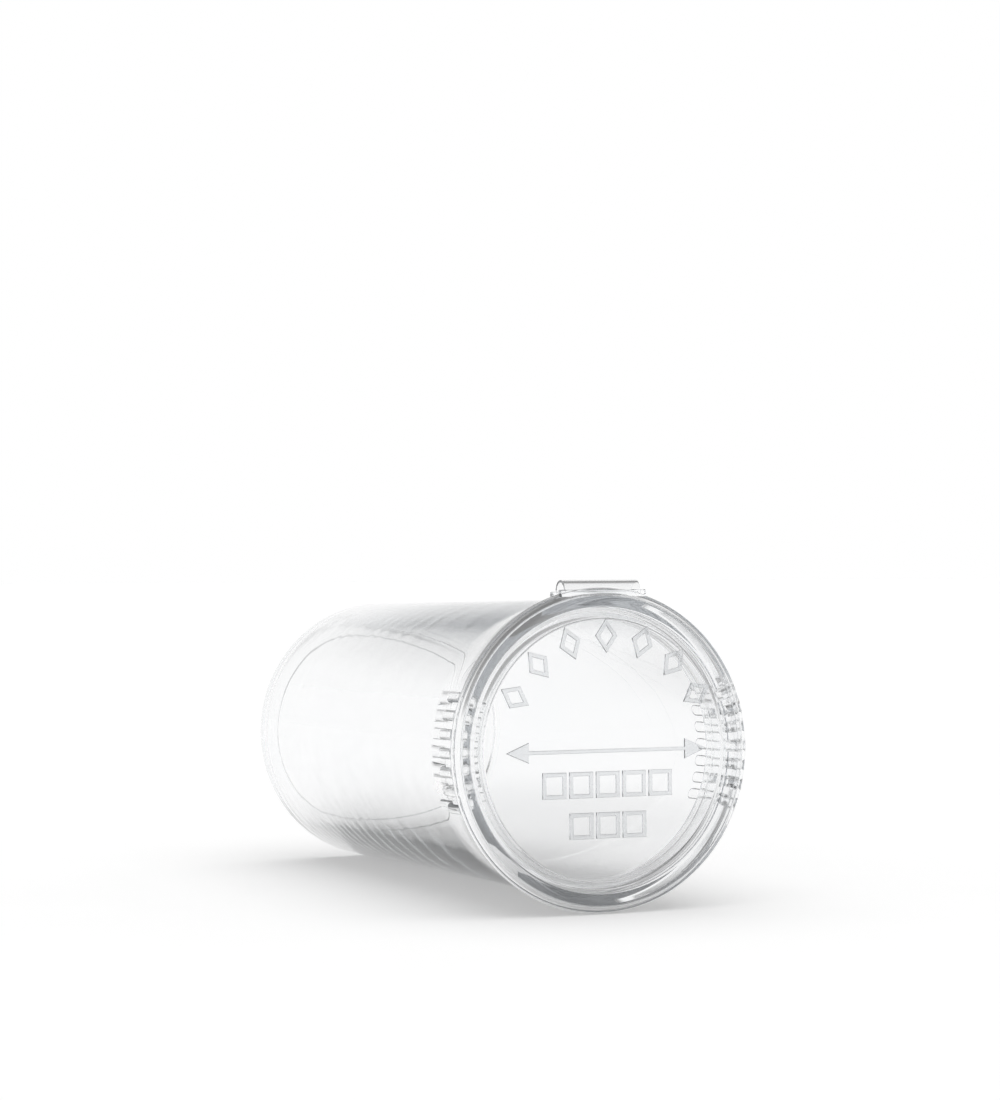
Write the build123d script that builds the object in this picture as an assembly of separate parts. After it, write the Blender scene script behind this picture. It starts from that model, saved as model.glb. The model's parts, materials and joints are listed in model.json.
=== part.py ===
"""A squeeze-top prescription vial: a clear polypropylene tube whose lid is joined to it by a living hinge.

The real vial is one moulding. Here each feature of it that has a job of its own is a separate solid, and
the lid turns on the crown of the hinge strap.

The pieces are made in the mould's frame: +Z runs along the vial from its base to the lid's face, and +Y
points to the hinge. lay_down() then rests the finished vial on its side, on the lid's rim and the heel of
the base, with the lid facing -Y and the hinge on top.
"""

import math
import os

from build123d import *

# ---- Driving dimensions, in millimetres -------------------------------------------------------------

# the vial
overall_length = 76.5  # from the standing face of the base to the lid's face
mouth_diameter = 37.2  # outside of the tube, at the mouth
base_diameter = 36.7  # outside of the tube, at the base: the mould needs this draft
wall = 1.1
base_thickness = 1.3
heel_radius = 1.0  # rounded outer edge of the base
foot_ring_width = 2.4
foot_ring_height = 0.4  # depth of the recess that the foot ring stands round

# the collar round the mouth, and the ribs that mark where to squeeze
collar_height = 3.7
collar_thickness = 0.7
collar_bevel = 0.5
rib_count = 7  # on each side
rib_pitch = 6.9  # degrees
rib_width = 1.45
rib_start = 0.3  # from the mouth to the ribs
knob_length = 4.9  # of the tall end of each rib, which crosses the collar
knob_thickness = 1.0
knob_rounding = 0.3
tail_length = 8.7  # of the low tail that each rib runs out in, measured from the same end
tail_thickness = 0.2
tail_rounding = 0.15

# the lid
rim_diameter = 40.0
rim_height = 2.1
rim_edge_radius = 1.75
panel_thickness = 1.2
plug_clearance = 0.4  # between the plug's wall and the tube's
plug_wall = 0.85
plug_reach = 3.3  # how far the plug goes into the mouth
plug_lead_in = 0.3  # bevel on the plug's leading edge
bead_clearance = 0.12  # between the crest of the snap bead and the tube's wall
bead_radius = 0.45
bead_to_plug_end = 0.8
groove_depth = 0.15  # of the snap groove in the tube, past the wall

# the living hinge
strap_width = 10.3
strap_thickness = 0.3
strap_rise = 0.95  # from the lid's rim to the crown of the strap
strap_span = 2.7  # across both legs of the arch
pad_overhang = 0.6  # of the pads past each end of the strap
pad_depth = 1.0  # of the pads along the vial
pad_drop = 0.25  # from the lid's rim to the top of its pad, and of the collar's pad past the collar

# the raised marks on the lid's face
mark_height = 0.25
mark_stroke = 0.5
arrow_length = 27.2
arrow_shaft = 0.45
arrow_head_length = 3.0
arrow_head_width = 2.5
arc_mark_count = 7
arc_mark_radius = 14.1  # from the lid's centre to the middle of each mark
arc_mark_pitch = 20.4  # degrees
arc_mark_length = 4.2
arc_mark_width = 3.0
row_mark_side = 3.2
row_mark_pitch = 3.6
row_counts = (5, 3)
row_centres = (-4.1, -9.1)  # heights of the two rows, from the lid's centre

# ---- Sizes that follow from them --------------------------------------------------------------------

face_z = overall_length
mouth_z = overall_length - rim_height
mouth_radius = mouth_diameter / 2
base_radius = base_diameter / 2
bore_radius = mouth_radius - wall
rim_radius = rim_diameter / 2
collar_radius = mouth_radius + collar_thickness
plug_radius = bore_radius - plug_clearance
plug_end_z = mouth_z - plug_reach
bead_z = plug_end_z + bead_to_plug_end
bead_crest = bore_radius - bead_clearance
crown_y = rim_radius + strap_rise
pivot_z = mouth_z
arch_radius = strap_span / 2
arch_centre_y = crown_y - arch_radius
excess = 5.0  # how far a cutting shape runs past what it cuts


def turned(outline):
    """The solid that a closed outline of (radius, height) points makes when it turns about Z."""
    return revolve(make_face(Plane.XZ * Polyline(*outline, close=True)), Axis.Z)


def disc(radius, low, high):
    """A round plate about Z between two heights."""
    return Pos(0, 0, low) * Cylinder(radius, high - low, align=(Align.CENTER, Align.CENTER, Align.MIN))


def outer_radius(height):
    """The outside radius of the drafted tube at a height."""
    return base_radius + (mouth_radius - base_radius) * height / mouth_z


# ---- The vial ---------------------------------------------------------------------------------------

def tube_envelope():
    """The tube's outer surface as a full solid, which shapes everything that sits on it."""
    return turned([(0, 0), (base_radius, 0), (mouth_radius, mouth_z), (0, mouth_z)])


def snap_ring(crest, height):
    """A round-sided ring about Z with its largest radius at the given height."""
    return Pos(0, 0, height) * Torus(crest - bead_radius, bead_radius)


def vial_tube():
    low = base_thickness
    inner_low = outer_radius(low) - wall
    shell = turned([
        (inner_low, low),
        (outer_radius(low), low),
        (mouth_radius, mouth_z),
        (bore_radius, mouth_z),
    ])
    return shell - snap_ring(bore_radius + groove_depth, bead_z)


def vial_base():
    plate = turned([(0, 0), (base_radius, 0), (outer_radius(base_thickness), base_thickness), (0, base_thickness)])
    heel = plate.edges().group_by(Axis.Z)[0]
    plate = fillet(heel, heel_radius)
    recess_radius = base_radius - heel_radius - foot_ring_width
    return plate - disc(recess_radius, -excess, foot_ring_height)


def mouth_collar():
    low = mouth_z - collar_height
    ring = turned([
        (bore_radius, low),
        (collar_radius - collar_bevel, low),
        (collar_radius, low + collar_bevel),
        (collar_radius, mouth_z),
        (bore_radius, mouth_z),
    ])
    return ring - tube_envelope()


def rib_bar(length, thickness, rounding):
    """A bar with a round end along the +X side, from the bore to its thickness outside the wall."""
    straight = length - rib_width / 2
    plane = Plane(origin=(bore_radius, 0, mouth_z - rib_start), x_dir=(0, 1, 0), z_dir=(1, 0, 0))
    shape = Pos(0, -straight / 2) * Rectangle(rib_width, straight)
    shape += Pos(0, -straight) * Circle(rib_width / 2)
    bar = extrude(plane * shape, wall + thickness)
    return fillet(bar.faces().sort_by(Axis.X)[-1].edges(), rounding)


def grip_rib():
    """One rib, a tall knob that runs out in a low tail, before the tube and the collar are cut out of it."""
    knob = rib_bar(knob_length, knob_thickness, knob_rounding)
    return knob + rib_bar(tail_length, tail_thickness, tail_rounding)


def grip_ribs(side_angle, collar):
    """The row of ribs centred on one side of the tube."""
    bare = grip_rib()
    solids = []
    for i in range(rib_count):
        angle = side_angle + (i - (rib_count - 1) / 2) * rib_pitch
        rib = Rot(0, 0, angle) * bare - tube_envelope() - collar
        solids += rib.solids()
    return Compound(children=solids)


# ---- The living hinge -------------------------------------------------------------------------------

def strap():
    """The whole strap, an arch over the joint between the lid's rim and the collar."""
    foot_y = math.sqrt((collar_radius - collar_thickness) ** 2 - (strap_width / 2) ** 2)
    plane = Plane(origin=(-strap_width / 2, arch_centre_y, pivot_z), x_dir=(0, 1, 0), z_dir=(1, 0, 0))
    leg_length = arch_centre_y - foot_y
    outside = Circle(arch_radius) + Pos(-leg_length / 2, 0) * Rectangle(leg_length, strap_span)
    inside_radius = arch_radius - strap_thickness
    inside = Circle(inside_radius) + Pos(-leg_length / 2, 0) * Rectangle(leg_length, 2 * inside_radius)
    below = Pos(-leg_length - excess / 2, 0) * Rectangle(excess, strap_span)
    return extrude(plane * (outside - inside - below), strap_width)


def half_space(low, high):
    """A block that holds everything near the hinge between two heights."""
    return Pos(0, rim_radius, low) * Box(
        2 * strap_width, rim_radius, high - low, align=(Align.CENTER, Align.CENTER, Align.MIN)
    )


def hinge_lid_leaf(rim):
    return strap() & half_space(pivot_z, face_z) - rim


def hinge_body_leaf(collar):
    return strap() & half_space(pivot_z - rim_height - excess, pivot_z) - collar - tube_envelope()


def hinge_pad(top_y, middle_z, carrier, leaf):
    """The pad that fills the wedge between a straight leg and the round piece that carries it."""
    foot_y = math.sqrt(mouth_radius**2 - (strap_width / 2 + pad_overhang) ** 2)
    block = Pos(0, (top_y + foot_y) / 2, middle_z) * Box(
        strap_width + 2 * pad_overhang, top_y - foot_y, pad_depth
    )
    return Compound(children=(block - carrier - leaf).solids())


# ---- The lid ----------------------------------------------------------------------------------------

def lid_panel():
    return disc(plug_radius, face_z - panel_thickness, face_z)


def lid_rim():
    plate = disc(rim_radius, mouth_z, face_z)
    plate = fillet(plate.edges().group_by(Axis.Z)[-1], rim_edge_radius)
    return plate - disc(plug_radius, mouth_z - excess, face_z + excess)


def lid_plug():
    top = face_z - panel_thickness
    inner = plug_radius - plug_wall
    return turned([
        (inner, plug_end_z),
        (plug_radius - plug_lead_in, plug_end_z),
        (plug_radius, plug_end_z + plug_lead_in),
        (plug_radius, top),
        (inner, top),
    ])


def lid_snap_bead():
    return snap_ring(bead_crest, bead_z) - disc(plug_radius, bead_z - excess, bead_z + excess)


def raised(shape):
    """A flat shape, standing up from the lid's face by the height of the marks."""
    return extrude(Pos(0, 0, face_z) * shape, mark_height)


def squeeze_arrow():
    """The double arrow that points at the two sides to squeeze."""
    tip = arrow_length / 2
    neck = tip - arrow_head_length
    shape = Rectangle(2 * neck, arrow_shaft)
    for side in (1, -1):
        shape += make_face(Polyline(
            (side * tip, 0),
            (side * neck, arrow_head_width / 2),
            (side * neck, -arrow_head_width / 2),
            close=True,
        ))
    return raised(shape)


def diamond(length, width):
    return make_face(Polyline((0, length / 2), (width / 2, 0), (0, -length / 2), (-width / 2, 0), close=True))


def arc_marks():
    """Open diamonds on an arc over the arrow."""
    slant = math.hypot(arc_mark_length, arc_mark_width)
    inset_length = 2 * mark_stroke * slant / arc_mark_width
    inset_width = 2 * mark_stroke * slant / arc_mark_length
    outline = diamond(arc_mark_length, arc_mark_width)
    outline -= diamond(arc_mark_length - inset_length, arc_mark_width - inset_width)
    solids = []
    for i in range(arc_mark_count):
        angle = (i - (arc_mark_count - 1) / 2) * arc_mark_pitch
        solids += raised(Rot(0, 0, angle) * Pos(0, arc_mark_radius) * outline).solids()
    return Compound(children=solids)


def row_marks():
    """Open squares in two rows under the arrow."""
    inner_side = row_mark_side - 2 * mark_stroke
    outline = Rectangle(row_mark_side, row_mark_side) - Rectangle(inner_side, inner_side)
    solids = []
    for count, height in zip(row_counts, row_centres):
        for i in range(count):
            across = (i - (count - 1) / 2) * row_mark_pitch
            solids += raised(Pos(across, height) * outline).solids()
    return Compound(children=solids)


# ---- Assembly ---------------------------------------------------------------------------------------

def moulded_nodes():
    """Every node, in the mould's frame."""
    collar = mouth_collar()
    rim = lid_rim()
    lid_leaf = hinge_lid_leaf(rim)
    body_leaf = hinge_body_leaf(collar)
    leg_middle = (strap_span - strap_thickness) / 2
    return {
        "vial_tube": vial_tube(),
        "vial_base": vial_base(),
        "mouth_collar": collar,
        "grip_ribs_right": grip_ribs(0, collar),
        "grip_ribs_left": grip_ribs(180, collar),
        "hinge_body_pad": hinge_pad(
            collar_radius + pad_drop, pivot_z - leg_middle, collar + tube_envelope(), body_leaf
        ),
        "hinge_body_leaf": body_leaf,
        "hinge_lid_leaf": lid_leaf,
        "hinge_lid_pad": hinge_pad(rim_radius - pad_drop, pivot_z + leg_middle, rim, lid_leaf),
        "lid_rim": rim,
        "lid_panel": lid_panel(),
        "lid_plug": lid_plug(),
        "lid_snap_bead": lid_snap_bead(),
        "squeeze_arrow": squeeze_arrow(),
        "arc_marks": arc_marks(),
        "row_marks": row_marks(),
    }


def lean():
    """The small angle, in degrees, at which the vial lies on its wider rim and the heel of its base."""
    along = mouth_z - heel_radius
    across = rim_radius - (base_radius - heel_radius)
    to_centre = math.atan2(across, along)
    to_tangent = math.asin(heel_radius / math.hypot(across, along))
    return math.degrees(to_centre - to_tangent)


def lay_down(nodes):
    """The nodes on their side, on the plane Z = 0 and centred on the origin, and the placement used."""
    turn = Rot(90 - lean(), 0, 0)
    box = Compound(children=[turn * shape for shape in nodes.values()]).bounding_box()
    placement = Pos(-box.center().X, -box.center().Y, -box.min.Z) * turn
    return {name: placement * shape for name, shape in nodes.items()}, placement


def main():
    nodes, placement = lay_down(moulded_nodes())
    os.makedirs("parts", exist_ok=True)
    for name, shape in nodes.items():
        export_step(shape, f"parts/{name}.step")
    points = {
        "hinge axis": (0, crown_y, pivot_z),
        "base centre": (0, 0, 0),
        "foot ring": (0, -(base_radius - heel_radius - foot_ring_width / 2), 0),
        "lid face centre": (0, 0, face_z),
        "mouth centre": (0, 0, mouth_z),
        "plug end centre": (0, 0, plug_end_z),
    }
    for name, point in points.items():
        placed = (placement * Pos(*point)).position
        print(f"{name}: {placed.X:.4f} {placed.Y:.4f} {placed.Z:.4f}")
    print(f"lean: {lean():.5f} degrees")


main()
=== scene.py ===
"""The looks of the squeeze-top prescription vial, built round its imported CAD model.

The real vial is one clear moulding, so its tube, base, collar and ribs are shown as one continuous shell,
and so are the parts of its lid: a face left inside clear plastic would show as a mirror that isn't there.
The strap of the living hinge bends across the joint, and each raised mark is a piece of its own.
"""

import json
import math

import bmesh
import bpy
from mathutils import Matrix, Vector

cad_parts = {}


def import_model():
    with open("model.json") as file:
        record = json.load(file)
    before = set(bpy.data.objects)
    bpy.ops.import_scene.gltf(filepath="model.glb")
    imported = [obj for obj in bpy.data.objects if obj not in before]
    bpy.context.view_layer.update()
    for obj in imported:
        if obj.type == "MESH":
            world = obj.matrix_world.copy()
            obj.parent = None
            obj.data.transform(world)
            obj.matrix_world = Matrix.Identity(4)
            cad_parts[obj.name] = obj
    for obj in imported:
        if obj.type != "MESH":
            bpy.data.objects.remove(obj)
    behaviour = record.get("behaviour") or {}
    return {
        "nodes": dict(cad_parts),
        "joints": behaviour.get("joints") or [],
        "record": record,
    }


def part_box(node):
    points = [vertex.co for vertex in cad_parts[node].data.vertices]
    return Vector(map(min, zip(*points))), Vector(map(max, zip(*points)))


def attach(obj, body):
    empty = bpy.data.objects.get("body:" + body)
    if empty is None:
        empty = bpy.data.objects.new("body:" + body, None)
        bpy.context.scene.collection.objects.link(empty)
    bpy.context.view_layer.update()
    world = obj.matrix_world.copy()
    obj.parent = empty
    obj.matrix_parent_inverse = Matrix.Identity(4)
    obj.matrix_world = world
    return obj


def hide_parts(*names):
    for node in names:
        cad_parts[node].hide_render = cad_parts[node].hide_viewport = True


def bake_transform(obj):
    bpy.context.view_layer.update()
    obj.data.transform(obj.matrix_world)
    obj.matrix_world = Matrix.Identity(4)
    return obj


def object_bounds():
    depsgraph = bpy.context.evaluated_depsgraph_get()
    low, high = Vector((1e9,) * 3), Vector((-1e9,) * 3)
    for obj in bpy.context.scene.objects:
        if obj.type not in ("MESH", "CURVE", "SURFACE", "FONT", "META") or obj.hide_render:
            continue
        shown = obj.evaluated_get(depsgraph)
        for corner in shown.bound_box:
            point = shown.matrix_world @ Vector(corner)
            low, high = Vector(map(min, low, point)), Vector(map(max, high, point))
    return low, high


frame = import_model()
cad_low, cad_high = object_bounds()

MM = 0.001
SEGMENTS = 288  # round the vial's axis
ARC_STEPS = 6  # along each rounded corner
ROUND_END_STEPS = 8  # round each end of a rib
SHARP_ANGLE = math.radians(32)

# ---- The mould's frame: +Z from the base to the lid's face, +Y to the hinge --------------------------

mount = frame["record"]["mounts"][0]
joint = frame["joints"][0]
axis = -Vector(mount["axis"])
panel_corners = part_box("lid_panel")
panel_centre = (panel_corners[0] + panel_corners[1]) / 2
base_centre = panel_centre - axis * (panel_centre - Vector(mount["pos_m"])).dot(axis)
side = Vector((1, 0, 0))
up = axis.cross(side)
TO_ROW = Matrix.Translation(base_centre) @ Matrix((side, up, axis)).transposed().to_4x4()
TO_MOULD = TO_ROW.inverted()


def span(node):
    """The lowest and highest corner of a CAD node in the mould's frame."""
    points = [TO_MOULD @ v.co for v in frame["nodes"][node].data.vertices]
    low = Vector([min(p[i] for p in points) for i in range(3)])
    high = Vector([max(p[i] for p in points) for i in range(3)])
    return low, high


_, tube_high = span("vial_tube")
_, base_high = span("vial_base")
collar_low, collar_high = span("mouth_collar")
rib_low, rib_high = span("grip_ribs_right")
_, rim_high = span("lid_rim")
panel_low, panel_high = span("lid_panel")
plug_low, plug_high = span("lid_plug")
bead_low, bead_high = span("lid_snap_bead")
leaf_low, leaf_high = span("hinge_lid_leaf")
body_leaf_low, _ = span("hinge_body_leaf")
lid_pad_low, lid_pad_high = span("hinge_lid_pad")
body_pad_low, body_pad_high = span("hinge_body_pad")
_, arrow_high = span("squeeze_arrow")
_, arcs_high = span("arc_marks")
rows_low, rows_high = span("row_marks")

mouth_radius = tube_high.x
mouth_z = tube_high.z
base_radius = base_high.x
base_top = base_high.z
face_z = panel_high.z
rim_radius = rim_high.x
plug_radius = plug_high.x
pivot = TO_MOULD @ Vector(joint["pos_m"])

# ---- Sizes of details that the boxes don't tell, in metres ------------------------------------------

WALL = 1.1 * MM
HEEL = 1.0 * MM
FOOT_RING = 2.4 * MM
FOOT_RECESS = 0.4 * MM
FOOT_EDGE = 0.19 * MM  # rounding of the recess, under half its depth
INNER_HEEL = 1.8 * MM  # rounding inside the vial, where the wall meets the base
COLLAR_BEVEL = 0.5 * MM
LIP_ROUNDING = 0.3 * MM
LIP_GAP = 0.04 * MM  # of air between the lid's rim and the lip it rests on
GROOVE_DEPTH = 0.15 * MM
GROOVE_HALF = 0.45 * MM
RIM_EDGE = 1.75 * MM
SKIRT = 0.9 * MM  # the wall of the rim outside its seat on the lip
SEAT = 1.75 * MM  # width of that seat, from the plug outwards
PLUG_WALL = 0.85 * MM
SOFT_EDGE = 0.12 * MM  # the small rounding of every moulded edge
RIB_COUNT = 7
RIB_PITCH = math.radians(6.9)
RIB_WIDTH = 1.45 * MM
KNOB_LENGTH = 4.9 * MM
KNOB_ROUNDING = 0.55 * MM
TAIL_THICKNESS = 0.2 * MM
TAIL_ROUNDING = 0.19 * MM  # under the tail's thickness
PAD_ROOT = WALL / 4  # how deep the hinge's pads sit in their carriers
STRAP_THICKNESS = 0.3 * MM
STRAP_ROOT = 0.35 * MM  # how deep the strap's ends sit in their pads
LEG_STEPS = 6  # along each straight leg of the strap
CROWN_STEPS = 24  # round its crown

# the raised marks on the lid's face
MARK_STROKE = 0.5 * MM
MARK_GAP = 0.01 * MM  # of air between a mark and the face, so that the two surfaces don't cross
MARK_ROUNDING = 0.12 * MM
ARROW_SHAFT = 0.45 * MM
ARROW_HEAD_LENGTH = 3.0 * MM
DIAMOND_COUNT = 7
DIAMOND_PITCH = math.radians(20.4)
DIAMOND_LENGTH = 4.2 * MM
DIAMOND_WIDTH = 3.0 * MM
SQUARE_SIDE = 3.2 * MM
SQUARE_PITCH = 3.6 * MM
SECOND_ROW_COUNT = 3

# ---- Looks, light and camera ------------------------------------------------------------------------

GREYNESS = 110  # absorption density of the plastic
MARK_GREYNESS = 7000  # far more, so that marks this thin can be read
PLASTIC_IOR = 1.49  # of polypropylene
HAZE_SCALE = 90
HAZE_DETAIL = 3
HAZE_SPAN = (0.3, 0.75)  # of the noise, from the darker tint to the lighter
DARK_TINT = (0.982, 0.985, 0.988, 1)
LIGHT_TINT = (0.994, 0.995, 0.996, 1)
MOST_ROUGHNESS = 0.03
WAVE_SCALE = 220
WAVE_DETAIL = 1
WAVE_STRENGTH = 0.12
WAVE_HEIGHT = 0.05 * MM
ABSORBED_TINT = (0.90, 0.905, 0.91, 1)

PAPER_LIFT = 0.3  # light of its own in the paper, so that it shows white
PAPER_ROUGHNESS = 0.9
PAPER_GRAIN_SCALE = 400
PAPER_SHADES = ((0.90, 0.90, 0.90, 1), (0.93, 0.93, 0.93, 1))
FLOOR_REACH = 3.0  # metres from its middle to each side

WALL_TOP = 0.21  # the sine of the elevation up to which the studio is white
DARKENING = ((0.42, 0.4), (0.85, 0.2))  # further sines, with the brightness there
OVERHEAD_STRENGTH = 1.39
OVERHEAD_ANGLE = math.radians(80)  # how wide the light is, which makes its shadows soft
OVERHEAD_AIM = (0, 0.05, -1)

LENS = 95.1
SENSOR = 36
NEAR_CLIP = 0.01
EYE = (-156.7, -358.0, 45.2)  # in millimetres
SIGHT = (0.4066, 0.9136, -0.0016)
BOUNCES = 96


# ---- Mesh tools -------------------------------------------------------------------------------------

def finished(name, bm, body, nodes=(), material=None):
    """The bmesh, made in the mould's frame, as a smooth-shaded piece that rides on a body."""
    bmesh.ops.recalc_face_normals(bm, faces=bm.faces)
    mesh = bpy.data.meshes.new(name)
    bm.to_mesh(mesh)
    bm.free()
    mesh.transform(TO_ROW)
    mesh.shade_smooth()
    mesh.set_sharp_from_angle(angle=SHARP_ANGLE)
    piece = bpy.data.objects.new(name, mesh)
    bpy.context.scene.collection.objects.link(piece)
    if material:
        mesh.materials.append(material)
    if body:
        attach(piece, body)
    if nodes:
        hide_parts(*nodes)
    return piece


def rounded(corners, steps=ARC_STEPS):
    """The line through (radius, height, fillet) corners, each corner rounded to its fillet."""
    line = []
    for i, (radius, height, fillet) in enumerate(corners):
        here = Vector((radius, height))
        if not fillet:
            line.append(here)
            continue
        before = (Vector(corners[i - 1][:2]) - here).normalized()
        after = (Vector(corners[i + 1][:2]) - here).normalized()
        half = before.angle(after) / 2
        reach = fillet / math.tan(half)
        centre = here + (before + after).normalized() * fillet / math.sin(half)
        start = here + before * reach - centre
        end = here + after * reach - centre
        line += [centre + start.slerp(end, k / steps) * fillet for k in range(steps + 1)]
    return line


def turned(line, segments=SEGMENTS):
    """The closed solid that a line from the axis to the axis makes when it turns about Z."""
    bm = bmesh.new()
    rings = []
    for radius, height in line:
        if radius < 1e-9:
            rings.append([bm.verts.new((0, 0, height))])
            continue
        angles = [2 * math.pi * k / segments for k in range(segments)]
        rings.append([bm.verts.new((radius * math.cos(a), radius * math.sin(a), height)) for a in angles])
    for one, two in zip(rings, rings[1:]):
        for k in range(segments):
            after = (k + 1) % segments
            corners = [one[k % len(one)], one[after % len(one)], two[after % len(two)], two[k % len(two)]]
            bm.faces.new(dict.fromkeys(corners))
    return bm


def lofted(rings):
    """The closed solid that skins a list of rings of points, capped at both ends."""
    bm = bmesh.new()
    loops = [[bm.verts.new(p) for p in ring] for ring in rings]
    for one, two in zip(loops, loops[1:]):
        count = len(one)
        for k in range(count):
            after = (k + 1) % count
            bm.faces.new((one[k], one[after], two[after], two[k]))
    bm.faces.new(loops[0])
    bm.faces.new(loops[-1])
    bmesh.ops.recalc_face_normals(bm, faces=bm.faces)
    return bm


def united(first, others):
    """The union of one bmesh with a list of others, as one closed skin."""
    objects = []
    for bm in [first] + others:
        mesh = bpy.data.meshes.new("part_of_union")
        bm.to_mesh(mesh)
        bm.free()
        objects.append(bpy.data.objects.new("part_of_union", mesh))
        bpy.context.scene.collection.objects.link(objects[-1])
    main = objects[0]
    for other in objects[1:]:
        step = main.modifiers.new("union", "BOOLEAN")
        step.operation = "UNION"
        step.solver = "EXACT"
        step.object = other
    seen = main.evaluated_get(bpy.context.evaluated_depsgraph_get())
    bm = bmesh.new()
    bm.from_mesh(seen.to_mesh())
    for thing in objects:
        bpy.data.objects.remove(thing)
    return bm


# ---- The vial's shell -------------------------------------------------------------------------------

def outer_radius(height):
    """The outside radius of the drafted tube at a height."""
    return base_radius + (mouth_radius - base_radius) * height / mouth_z


def shell_line():
    """The half section of the tube, its base and its collar, from the axis out and back."""
    recess = base_radius - HEEL - FOOT_RING
    groove = (bead_low.z + bead_high.z) / 2
    bore = mouth_radius - WALL
    lip = mouth_z - LIP_GAP
    collar = collar_high.x
    rib_foot = rib_low.z - KNOB_ROUNDING
    return rounded([
        (0, FOOT_RECESS, 0),
        (recess, FOOT_RECESS, FOOT_EDGE),
        (recess, 0, FOOT_EDGE),
        (base_radius, 0, HEEL),
        (outer_radius(rib_foot), rib_foot, 0),
        (outer_radius(collar_low.z), collar_low.z, SOFT_EDGE),
        (collar - COLLAR_BEVEL, collar_low.z, SOFT_EDGE),
        (collar, collar_low.z + COLLAR_BEVEL, SOFT_EDGE),
        (collar, lip, LIP_ROUNDING),
        (bore, lip, LIP_ROUNDING),
        (bore, groove + GROOVE_HALF, SOFT_EDGE),
        (bore + GROOVE_DEPTH, groove, GROOVE_HALF / 2),
        (bore, groove - GROOVE_HALF, SOFT_EDGE),
        (outer_radius(base_top) - WALL, base_top, INNER_HEEL),
        (0, base_top, 0),
    ])


def rib_bar(angle, length, top, rounding):
    """A flat-topped bar with round ends, out of the middle of the wall, on the side at an angle."""
    half = RIB_WIDTH / 2
    upper = rib_high.z - half
    lower = rib_high.z - length + half
    levels = [(mouth_radius - WALL / 2, half), (top - rounding, half)]
    for k in range(1, ARC_STEPS + 1):
        turn = math.pi / 2 * k / ARC_STEPS
        levels.append((top - rounding * (1 - math.sin(turn)), half - rounding * (1 - math.cos(turn))))
    rings = []
    for out, reach in levels:
        ring = []
        for middle, start in ((upper, 0), (lower, math.pi)):
            for k in range(ROUND_END_STEPS + 1):
                turn = start + math.pi * k / ROUND_END_STEPS
                ring.append(Vector((out, reach * math.cos(turn), middle + reach * math.sin(turn))))
        rings.append(ring)
    bm = lofted(rings)
    bmesh.ops.rotate(bm, matrix=Matrix.Rotation(angle, 3, "Z"), verts=bm.verts)
    return bm


def rib(angle):
    """One grip rib: a tall knob over the collar that runs out in a low tail."""
    knob = rib_bar(angle, KNOB_LENGTH, rib_high.x, KNOB_ROUNDING)
    tail = rib_bar(angle, rib_high.z - rib_low.z, mouth_radius + TAIL_THICKNESS, TAIL_ROUNDING)
    return [tail, knob]


def pad(low, high, inner):
    """A pad that carries one leg of the strap: a bar with soft edges, from inside its carrier outwards."""
    depth = high.z - low.z
    rings = []
    for inset, out in ((0, inner), (0, high.y - SOFT_EDGE), (SOFT_EDGE, high.y)):
        rings.append([
            Vector((low.x + inset, out, low.z + inset)),
            Vector((high.x - inset, out, low.z + inset)),
            Vector((high.x - inset, out, low.z + depth - inset)),
            Vector((low.x + inset, out, low.z + depth - inset)),
        ])
    return lofted(rings)


def vial_shell():
    """The tube, its base, its collar, its ribs and its hinge pad, as one skin."""
    ribs = []
    for face in (0, math.pi):
        for i in range(RIB_COUNT):
            ribs += rib(face + (i - (RIB_COUNT - 1) / 2) * RIB_PITCH)
    inner = mouth_radius * math.cos(math.asin(body_pad_high.x / mouth_radius)) - PAD_ROOT
    ribs.append(pad(body_pad_low, body_pad_high, inner))
    bm = united(turned(shell_line()), ribs)
    nodes = (
        "vial_tube", "vial_base", "mouth_collar", "grip_ribs_right", "grip_ribs_left", "hinge_body_pad",
    )
    return finished("vial_shell", bm, "vial", nodes, clear_plastic("clear_tube", GREYNESS))


# ---- The lid's shell --------------------------------------------------------------------------------

def lid_line():
    """The half section of the lid, from the axis over its face and rim and back under the plug."""
    bead = (bead_low.z + bead_high.z) / 2
    bead_half = (bead_high.z - bead_low.z) / 2
    inner = plug_radius - PLUG_WALL
    seat = plug_radius + SEAT
    hollow_rounding = (rim_radius - SKIRT - seat) / 2.2  # almost half the hollow's width
    return rounded([
        (0, face_z, 0),
        (rim_radius, face_z, RIM_EDGE),
        (rim_radius, mouth_z, SOFT_EDGE),
        (rim_radius - SKIRT, mouth_z, SOFT_EDGE),
        (rim_radius - SKIRT, face_z - SKIRT, hollow_rounding),
        (seat, face_z - SKIRT, hollow_rounding),
        (seat, mouth_z, SOFT_EDGE),
        (plug_radius, mouth_z, SOFT_EDGE),
        (plug_radius, bead + bead_half, SOFT_EDGE),
        (bead_high.x, bead, bead_half / 2),
        (plug_radius, bead - bead_half, SOFT_EDGE),
        (plug_radius, plug_low.z, SOFT_EDGE * 2),
        (inner, plug_low.z, SOFT_EDGE),
        (inner, panel_low.z, SOFT_EDGE * 2),
        (0, panel_low.z, 0),
    ])


def lid_shell():
    """The rim, the window, the plug, the bead and the lid's hinge pad, as one skin."""
    inner = rim_radius * math.cos(math.asin(lid_pad_high.x / rim_radius)) - PAD_ROOT
    bm = united(turned(lid_line()), [pad(lid_pad_low, lid_pad_high, inner)])
    nodes = ("lid_rim", "lid_panel", "lid_plug", "lid_snap_bead", "hinge_lid_pad")
    return finished("lid_shell", bm, "lid", nodes, clear_plastic("clear_lid", GREYNESS))


# ---- The living hinge -------------------------------------------------------------------------------

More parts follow.
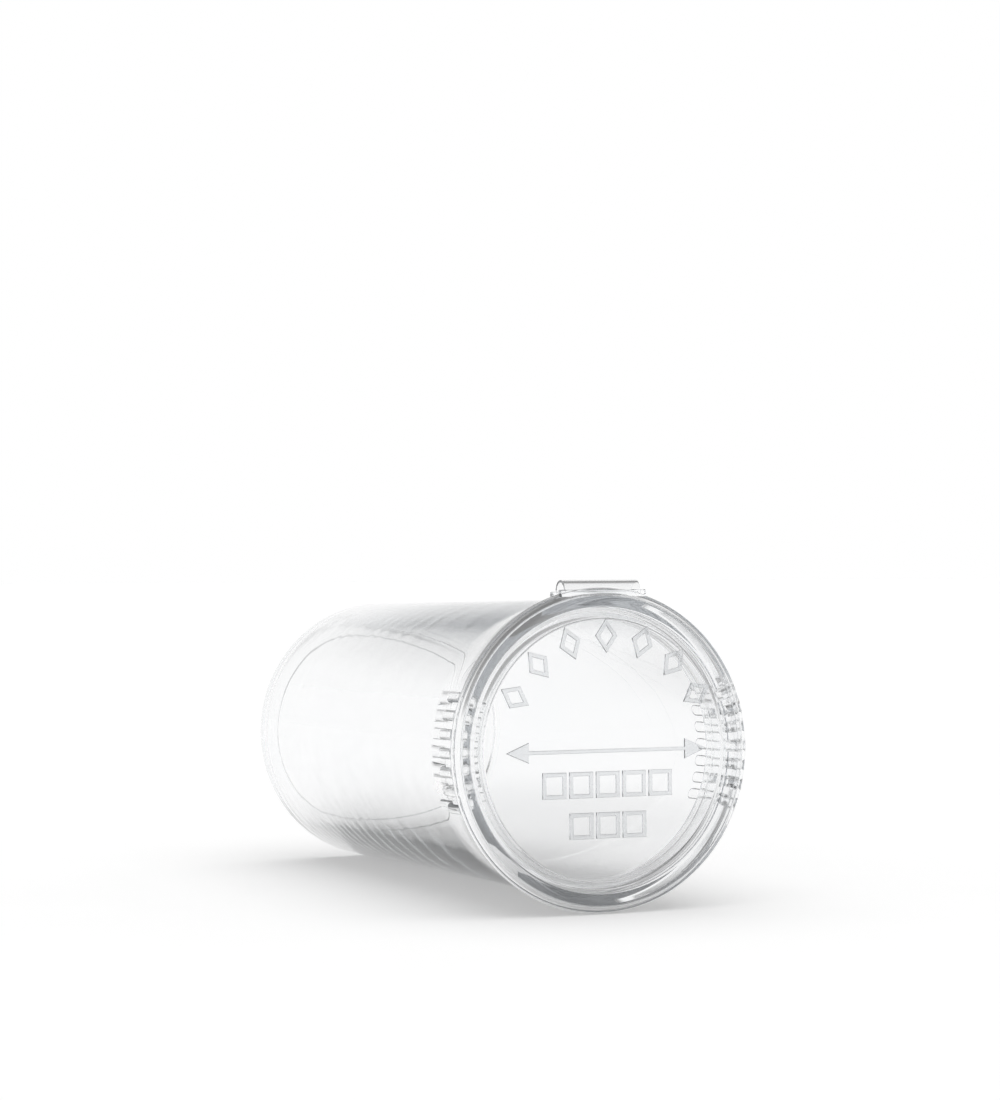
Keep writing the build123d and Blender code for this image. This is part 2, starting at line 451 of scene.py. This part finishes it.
def hinge_strap():
    """The strap: one arch from the vial's pad over the joint to the lid's pad."""
    radius = (leaf_high.z - body_leaf_low.z) / 2 - STRAP_THICKNESS / 2
    crown = pivot.y - STRAP_THICKNESS / 2 - radius
    foot = min(body_pad_high.y, lid_pad_high.y) - STRAP_ROOT
    half = STRAP_THICKNESS / 2
    centre_line = []
    for k in range(LEG_STEPS):
        centre_line.append((foot + (crown - foot) * k / LEG_STEPS, -radius, (0, -1)))
    for k in range(CROWN_STEPS + 1):
        turn = math.pi * k / CROWN_STEPS
        centre_line.append((
            crown + radius * math.sin(turn),
            -radius * math.cos(turn),
            (math.sin(turn), -math.cos(turn)),
        ))
    for k in range(1, LEG_STEPS + 1):
        centre_line.append((crown + (foot - crown) * k / LEG_STEPS, radius, (0, 1)))
    rings = []
    for y, z, normal in centre_line:
        ring = []
        for x, out in ((leaf_low.x, half), (leaf_high.x, half), (leaf_high.x, -half), (leaf_low.x, -half)):
            ring.append(Vector((x, y + normal[0] * out, pivot.z + z + normal[1] * out)))
        rings.append(ring)
    bm = lofted(rings)
    piece = finished("hinge_strap", bm, None, ("hinge_body_leaf", "hinge_lid_leaf"),
                     clear_plastic("clear_strap", GREYNESS))
    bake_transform(piece)
    return piece


# ---- The raised marks -------------------------------------------------------------------------------

def ridge(name, outside, inside=None):
    """A raised mark on the lid's face with soft top edges: an outline, or the band between two outlines."""
    bm = bmesh.new()
    bottom = face_z + MARK_GAP
    top = arrow_high.z
    levels = [(bottom, 0)]
    for k in range(ARC_STEPS + 1):
        turn = math.pi / 2 * k / ARC_STEPS
        levels.append((top - MARK_ROUNDING * (1 - math.sin(turn)), 1 - math.cos(turn)))
    skins = []
    for outline, inwards in ((outside, -1), (inside, 1)):
        if outline is None:
            continue
        loops = []
        for height, share in levels:
            moved = offset(outline, inwards * share * MARK_ROUNDING)
            loops.append([bm.verts.new((x, y, height)) for x, y in moved])
        skins.append(loops)
        for one, two in zip(loops, loops[1:]):
            for k in range(len(one)):
                after = (k + 1) % len(one)
                bm.faces.new((one[k], one[after], two[after], two[k]))
    for level in (0, -1):
        if inside is None:
            bm.faces.new(skins[0][level])
            continue
        outer, inner = skins[0][level], skins[1][level]
        for k in range(len(outer)):
            after = (k + 1) % len(outer)
            bm.faces.new((outer[k], outer[after], inner[after], inner[k]))
    return finished(name, bm, "lid", (), clear_plastic("clear_marks", MARK_GREYNESS))


def offset(outline, distance):
    """A closed outline moved outwards by a distance, with its corners kept as corners."""
    moved = []
    for k in range(len(outline)):
        here = Vector(outline[k])
        before = (here - Vector(outline[k - 1])).normalized()
        after = (Vector(outline[(k + 1) % len(outline)]) - here).normalized()
        normal_before = Vector((before.y, -before.x))
        normal_after = Vector((after.y, -after.x))
        corner = normal_before + normal_after
        moved.append(here + corner * distance / max(corner.dot(normal_before), 0.2))
    return moved


def placed(outline, angle, across, out):
    """An outline shifted by (across, out) and then turned about the lid's centre."""
    turn = Matrix.Rotation(angle, 2)
    return [turn @ Vector((x + across, y + out)) for x, y in outline]


def raised_marks():
    """The double arrow, the arc of open diamonds over it and the two rows of open squares under it."""
    tip = arrow_high.x
    neck = tip - ARROW_HEAD_LENGTH
    barb = arrow_high.y
    half = ARROW_SHAFT / 2
    arrow = [
        (tip, 0), (neck, barb), (neck, half), (-neck, half), (-neck, barb),
        (-tip, 0), (-neck, -barb), (-neck, -half), (neck, -half), (neck, -barb),
    ]
    mark = ridge("mark_arrow", arrow)
    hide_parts("squeeze_arrow")

    half_length = DIAMOND_LENGTH / 2
    half_width = DIAMOND_WIDTH / 2
    diamond = [(0, half_length), (-half_width, 0), (0, -half_length), (half_width, 0)]
    hole = offset(diamond, -MARK_STROKE)
    middle = arcs_high.y - half_length
    for i in range(DIAMOND_COUNT):
        angle = (i - (DIAMOND_COUNT - 1) / 2) * DIAMOND_PITCH
        mark = ridge(
            f"mark_diamond_{i + 1}",
            placed(diamond, angle, 0, middle),
            placed(hole, angle, 0, middle),
        )
        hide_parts("arc_marks")

    reach = SQUARE_SIDE / 2
    square = [(reach, reach), (-reach, reach), (-reach, -reach), (reach, -reach)]
    hole = offset(square, -MARK_STROKE)
    rows = (
        (round((rows_high.x - rows_low.x - SQUARE_SIDE) / SQUARE_PITCH) + 1, rows_high.y - reach),
        (SECOND_ROW_COUNT, rows_low.y + reach),
    )
    for row, (count, height) in enumerate(rows):
        for i in range(count):
            across = (i - (count - 1) / 2) * SQUARE_PITCH
            mark = ridge(
                f"mark_square_{row + 1}_{i + 1}",
                placed(square, 0, across, height),
                placed(hole, 0, across, height),
            )
            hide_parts("row_marks")


# ---- Materials --------------------------------------------------------------------------------------

def clear_plastic(name, density):
    """Clear moulded polypropylene: faintly wavy, a little hazy, and grey where it is thick."""
    material = bpy.data.materials.new(name)
    material.use_nodes = True
    nodes = material.node_tree.nodes
    links = material.node_tree.links
    shader = nodes["Principled BSDF"]
    shader.inputs["Transmission Weight"].default_value = 1.0
    shader.inputs["IOR"].default_value = PLASTIC_IOR
    place = nodes.new("ShaderNodeTexCoord")
    haze = nodes.new("ShaderNodeTexNoise")
    haze.inputs["Scale"].default_value = HAZE_SCALE
    haze.inputs["Detail"].default_value = HAZE_DETAIL
    links.new(place.outputs["Object"], haze.inputs["Vector"])
    tint = nodes.new("ShaderNodeValToRGB")
    for stop, position, colour in zip(tint.color_ramp.elements, HAZE_SPAN, (DARK_TINT, LIGHT_TINT)):
        stop.position = position
        stop.color = colour
    links.new(haze.outputs["Fac"], tint.inputs["Fac"])
    links.new(tint.outputs["Color"], shader.inputs["Base Color"])
    gloss = nodes.new("ShaderNodeMapRange")
    gloss.inputs["To Min"].default_value = 0.0
    gloss.inputs["To Max"].default_value = MOST_ROUGHNESS
    links.new(haze.outputs["Fac"], gloss.inputs["Value"])
    links.new(gloss.outputs["Result"], shader.inputs["Roughness"])
    wave = nodes.new("ShaderNodeTexNoise")
    wave.inputs["Scale"].default_value = WAVE_SCALE
    wave.inputs["Detail"].default_value = WAVE_DETAIL
    links.new(place.outputs["Object"], wave.inputs["Vector"])
    bump = nodes.new("ShaderNodeBump")
    bump.inputs["Strength"].default_value = WAVE_STRENGTH
    bump.inputs["Distance"].default_value = WAVE_HEIGHT
    links.new(wave.outputs["Fac"], bump.inputs["Height"])
    links.new(bump.outputs["Normal"], shader.inputs["Normal"])
    grey = nodes.new("ShaderNodeVolumeAbsorption")
    grey.inputs["Color"].default_value = ABSORBED_TINT
    grey.inputs["Density"].default_value = density
    links.new(grey.outputs["Volume"], nodes["Material Output"].inputs["Volume"])
    return material


def floor_paper():
    """White paper that shows white where the studio's light is full on it, and keeps its shadows."""
    material = bpy.data.materials.new("white_paper")
    material.use_nodes = True
    nodes = material.node_tree.nodes
    links = material.node_tree.links
    shader = nodes["Principled BSDF"]
    shader.inputs["Roughness"].default_value = PAPER_ROUGHNESS
    shader.inputs["Specular IOR Level"].default_value = 0.0
    grain = nodes.new("ShaderNodeTexNoise")
    grain.inputs["Scale"].default_value = PAPER_GRAIN_SCALE
    shade = nodes.new("ShaderNodeValToRGB")
    shade.color_ramp.elements[0].color = PAPER_SHADES[0]
    shade.color_ramp.elements[1].color = PAPER_SHADES[1]
    links.new(grain.outputs["Fac"], shade.inputs["Fac"])
    links.new(shade.outputs["Color"], shader.inputs["Base Color"])
    path = nodes.new("ShaderNodeLightPath")
    sight = nodes.new("ShaderNodeMath")
    sight.operation = "MAXIMUM"
    links.new(path.outputs["Is Camera Ray"], sight.inputs[0])
    links.new(path.outputs["Is Glossy Ray"], sight.inputs[1])
    seen = nodes.new("ShaderNodeMath")
    seen.operation = "MAXIMUM"
    links.new(sight.outputs["Value"], seen.inputs[0])
    links.new(path.outputs["Is Transmission Ray"], seen.inputs[1])
    lift = nodes.new("ShaderNodeMath")
    lift.operation = "MULTIPLY"
    lift.inputs[1].default_value = PAPER_LIFT
    links.new(seen.outputs["Value"], lift.inputs[0])
    links.new(lift.outputs["Value"], shader.inputs["Emission Strength"])
    shader.inputs["Emission Color"].default_value = (1, 1, 1, 1)
    return material


# ---- The studio -------------------------------------------------------------------------------------

def floor():
    """A wide sheet of white paper under the vial."""
    bm = bmesh.new()
    bmesh.ops.create_grid(bm, x_segments=8, y_segments=8, size=FLOOR_REACH)
    mesh = bpy.data.meshes.new("floor")
    bm.to_mesh(mesh)
    bm.free()
    piece = bpy.data.objects.new("floor", mesh)
    piece.location.z = cad_low.z
    bpy.context.scene.collection.objects.link(piece)
    mesh.materials.append(floor_paper())


def world():
    """A studio with white walls all round and a dark ceiling, the same for the eye and for the plastic."""
    sky = bpy.data.worlds.new("studio")
    bpy.context.scene.world = sky
    sky.use_nodes = True
    nodes = sky.node_tree.nodes
    links = sky.node_tree.links
    place = nodes.new("ShaderNodeTexCoord")
    split = nodes.new("ShaderNodeSeparateXYZ")
    links.new(place.outputs["Generated"], split.inputs["Vector"])
    height = nodes.new("ShaderNodeValToRGB")
    height.color_ramp.interpolation = "EASE"
    height.color_ramp.elements[0].position = WALL_TOP
    height.color_ramp.elements[0].color = (1, 1, 1, 1)
    (half_way, half_light), (ceiling, ceiling_light) = DARKENING
    height.color_ramp.elements[1].position = half_way
    height.color_ramp.elements[1].color = (half_light, half_light, half_light, 1)
    last = height.color_ramp.elements.new(ceiling)
    last.color = (ceiling_light, ceiling_light, ceiling_light, 1)
    links.new(split.outputs["Z"], height.inputs["Fac"])
    links.new(height.outputs["Color"], nodes["Background"].inputs["Color"])


def overhead_light():
    """One very wide, soft light from almost straight above, the same all over the floor."""
    light = bpy.data.lights.new("overhead", "SUN")
    light.angle = OVERHEAD_ANGLE
    light.energy = OVERHEAD_STRENGTH
    lamp = bpy.data.objects.new("overhead", light)
    lamp.rotation_euler = Vector(OVERHEAD_AIM).to_track_quat("-Z", "Y").to_euler()
    # the disc of the light itself doesn't show in the plastic
    lamp.visible_glossy = False
    lamp.visible_transmission = False
    bpy.context.scene.collection.objects.link(lamp)


def camera():
    """The camera the main view is seen from."""
    data = bpy.data.cameras.new("camera")
    data.lens = LENS
    data.sensor_width = SENSOR
    data.clip_start = NEAR_CLIP
    eye = bpy.data.objects.new("camera", data)
    eye.location = Vector(EYE) * MM
    eye.rotation_euler = Vector(SIGHT).to_track_quat("-Z", "Y").to_euler()
    bpy.context.scene.collection.objects.link(eye)
    bpy.context.scene.camera = eye


vial_shell()
lid_shell()
hinge_strap()
raised_marks()

floor()
world()
overhead_light()
camera()

bpy.context.scene.view_settings.view_transform = "Standard"
# with few bounces, the light that runs along inside the clear wall would be cut off and leave it black
bpy.context.scene.cycles.max_bounces = BOUNCES
bpy.context.scene.cycles.transmission_bounces = BOUNCES
bpy.context.scene.cycles.glossy_bounces = BOUNCES
